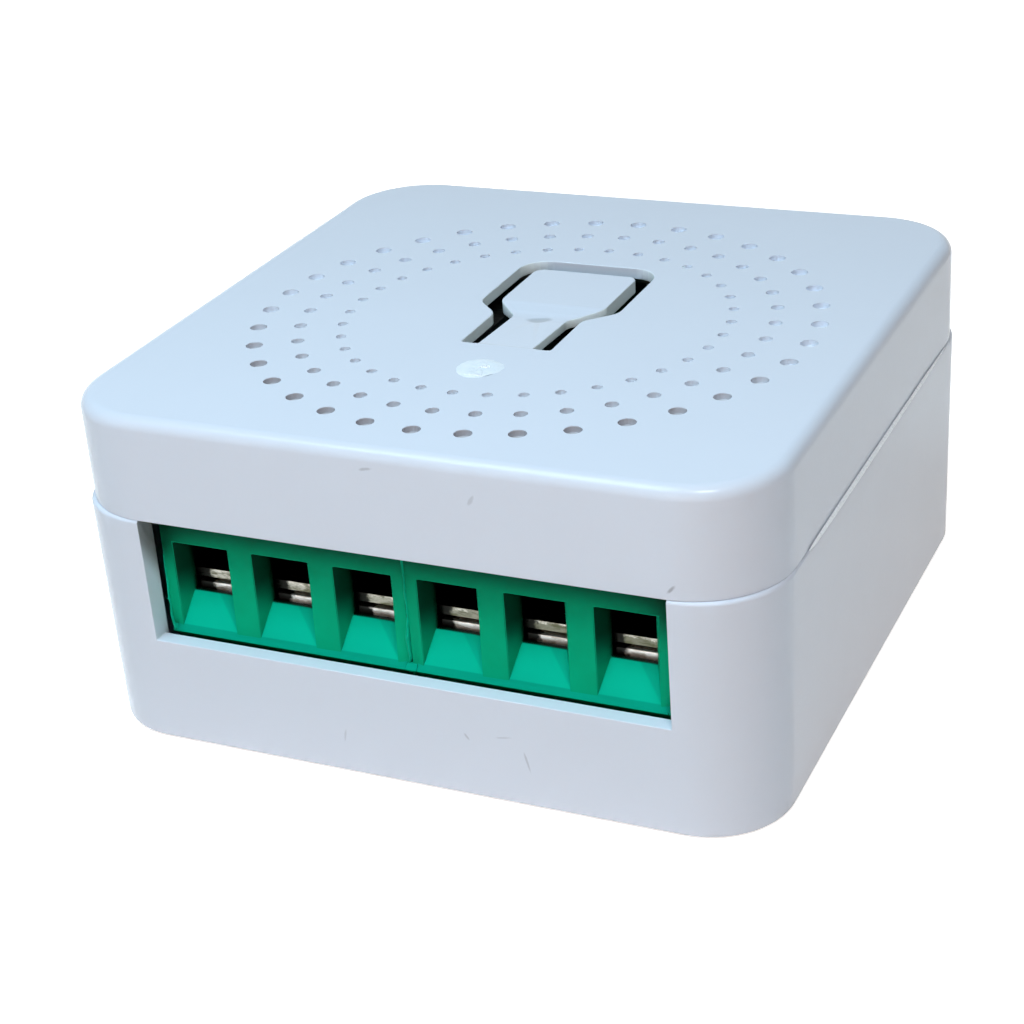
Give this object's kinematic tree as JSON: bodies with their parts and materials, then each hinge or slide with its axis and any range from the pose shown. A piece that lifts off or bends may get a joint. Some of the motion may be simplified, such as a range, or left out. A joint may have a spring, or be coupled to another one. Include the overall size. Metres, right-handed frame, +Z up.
{
  "type": "smart relay module",
  "caption": "Small square white relay module with a sprung button in its dotted cover and green screw terminals along one side, for wiring into a wall box.",
  "frame": {"origin": "centre of the underside", "axes": "+Z up towards the button's face, -Y towards the terminals, +X to the right of the terminals"},
  "size_m": [0.0414, 0.0414, 0.0203],
  "materials": {
    "white_housing": "moulded white plastic, soft gloss",
    "green_terminal": "moulded green plastic, satin",
    "tinned_contact": "tin-plated strip",
    "zinc_screw": "zinc-plated steel",
    "nickel_cage": "nickel-plated steel",
    "board_laminate": "green solder resist",
    "relay_blue": "moulded blue plastic",
    "dark_moulding": "black moulding compound",
    "radio_laminate": "dark blue solder resist",
    "shield_tin": "drawn tin-plate can",
    "switch_plunger": "black plastic",
    "lamp_lens": "milky lens",
    "capacitor_sleeve": "shrink sleeve",
    "ferrite_winding": "ferrite core with lacquered winding",
    "varistor_coat": "dipped epoxy",
    "resistor_coat": "lacquered ceramic",
    "pale_moulding": "white moulding compound"
  },
  "bodies": {
    "housing": {"base_shell": "white_housing", "top_cover": "white_housing", "left_terminal_block": "green_terminal", "right_terminal_block": "green_terminal", "terminal_contacts": "tinned_contact", "circuit_board": "board_laminate", "relay_case": "relay_blue", "relay_header": "dark_moulding", "radio_board": "radio_laminate", "radio_shield": "shield_tin", "push_switch_case": "dark_moulding", "indicator_lamp": "lamp_lens", "bulk_capacitor": "capacitor_sleeve", "output_capacitor": "capacitor_sleeve", "inductor": "ferrite_winding", "varistor": "varistor_coat", "fuse_resistor": "resistor_coat", "bridge_rectifier": "dark_moulding", "supply_chip": "dark_moulding", "voltage_regulator": "dark_moulding", "optocouplers": "pale_moulding"},
    "button": {"button_tongue": "white_housing"},
    "plunger": {"push_switch_plunger": "switch_plunger"},
    "screw_1": {"clamp_screw_1": "zinc_screw"},
    "cage_1": {"wire_cage_1": "nickel_cage"},
    "screw_2": {"clamp_screw_2": "zinc_screw"},
    "cage_2": {"wire_cage_2": "nickel_cage"},
    "screw_3": {"clamp_screw_3": "zinc_screw"},
    "cage_3": {"wire_cage_3": "nickel_cage"},
    "screw_4": {"clamp_screw_4": "zinc_screw"},
    "cage_4": {"wire_cage_4": "nickel_cage"},
    "screw_5": {"clamp_screw_5": "zinc_screw"},
    "cage_5": {"wire_cage_5": "nickel_cage"},
    "screw_6": {"clamp_screw_6": "zinc_screw"},
    "cage_6": {"wire_cage_6": "nickel_cage"}
  },
  "joints": [
    {"name": "button_press", "type": "hinge", "parent": "housing", "child": "button", "pos_m": [0.00062, -0.00595, 0.02031], "axis": [-1, 0, 0], "range_deg": [0, 1.6], "stiffness_Nm_per_rad": 0.5},
    {"name": "plunger_slide", "type": "slide", "parent": "housing", "child": "plunger", "axis": [0, 0, -1], "range_m": [0, 0.000265]},
    {"name": "screw_1_turn", "type": "hinge", "parent": "housing", "child": "screw_1", "pos_m": [-0.0127, -0.01528, 0.0065], "axis": [0, 0, 1], "range_deg": [-1520, 152]},
    {"name": "cage_1_slide", "type": "slide", "parent": "housing", "child": "cage_1", "axis": [0, 0, -1], "range_m": [-0.0019, 0.00019]},
    {"name": "screw_2_turn", "type": "hinge", "parent": "housing", "child": "screw_2", "pos_m": [-0.00762, -0.01528, 0.0065], "axis": [0, 0, 1], "range_deg": [-1520, 152]},
    {"name": "cage_2_slide", "type": "slide", "parent": "housing", "child": "cage_2", "axis": [0, 0, -1], "range_m": [-0.0019, 0.00019]},
    {"name": "screw_3_turn", "type": "hinge", "parent": "housing", "child": "screw_3", "pos_m": [-0.00254, -0.01528, 0.0065], "axis": [0, 0, 1], "range_deg": [-1520, 152]},
    {"name": "cage_3_slide", "type": "slide", "parent": "housing", "child": "cage_3", "axis": [0, 0, -1], "range_m": [-0.0019, 0.00019]},
    {"name": "screw_4_turn", "type": "hinge", "parent": "housing", "child": "screw_4", "pos_m": [0.00254, -0.01528, 0.0065], "axis": [0, 0, 1], "range_deg": [-1520, 152]},
    {"name": "cage_4_slide", "type": "slide", "parent": "housing", "child": "cage_4", "axis": [0, 0, -1], "range_m": [-0.0019, 0.00019]},
    {"name": "screw_5_turn", "type": "hinge", "parent": "housing", "child": "screw_5", "pos_m": [0.00762, -0.01528, 0.0065], "axis": [0, 0, 1], "range_deg": [-1520, 152]},
    {"name": "cage_5_slide", "type": "slide", "parent": "housing", "child": "cage_5", "axis": [0, 0, -1], "range_m": [-0.0019, 0.00019]},
    {"name": "screw_6_turn", "type": "hinge", "parent": "housing", "child": "screw_6", "pos_m": [0.0127, -0.01528, 0.0065], "axis": [0, 0, 1], "range_deg": [-1520, 152]},
    {"name": "cage_6_slide", "type": "slide", "parent": "housing", "child": "cage_6", "axis": [0, 0, -1], "range_m": [-0.0019, 0.00019]}
  ],
  "couplings": [
    {"joint": "button_press", "follows": "plunger_slide", "rad_per_m": 105.26},
    {"joint": "screw_1_turn", "follows": "cage_1_slide", "rad_per_m": 13963},
    {"joint": "screw_2_turn", "follows": "cage_2_slide", "rad_per_m": 13963},
    {"joint": "screw_3_turn", "follows": "cage_3_slide", "rad_per_m": 13963},
    {"joint": "screw_4_turn", "follows": "cage_4_slide", "rad_per_m": 13963},
    {"joint": "screw_5_turn", "follows": "cage_5_slide", "rad_per_m": 13963},
    {"joint": "screw_6_turn", "follows": "cage_6_slide", "rad_per_m": 13963}
  ]
}
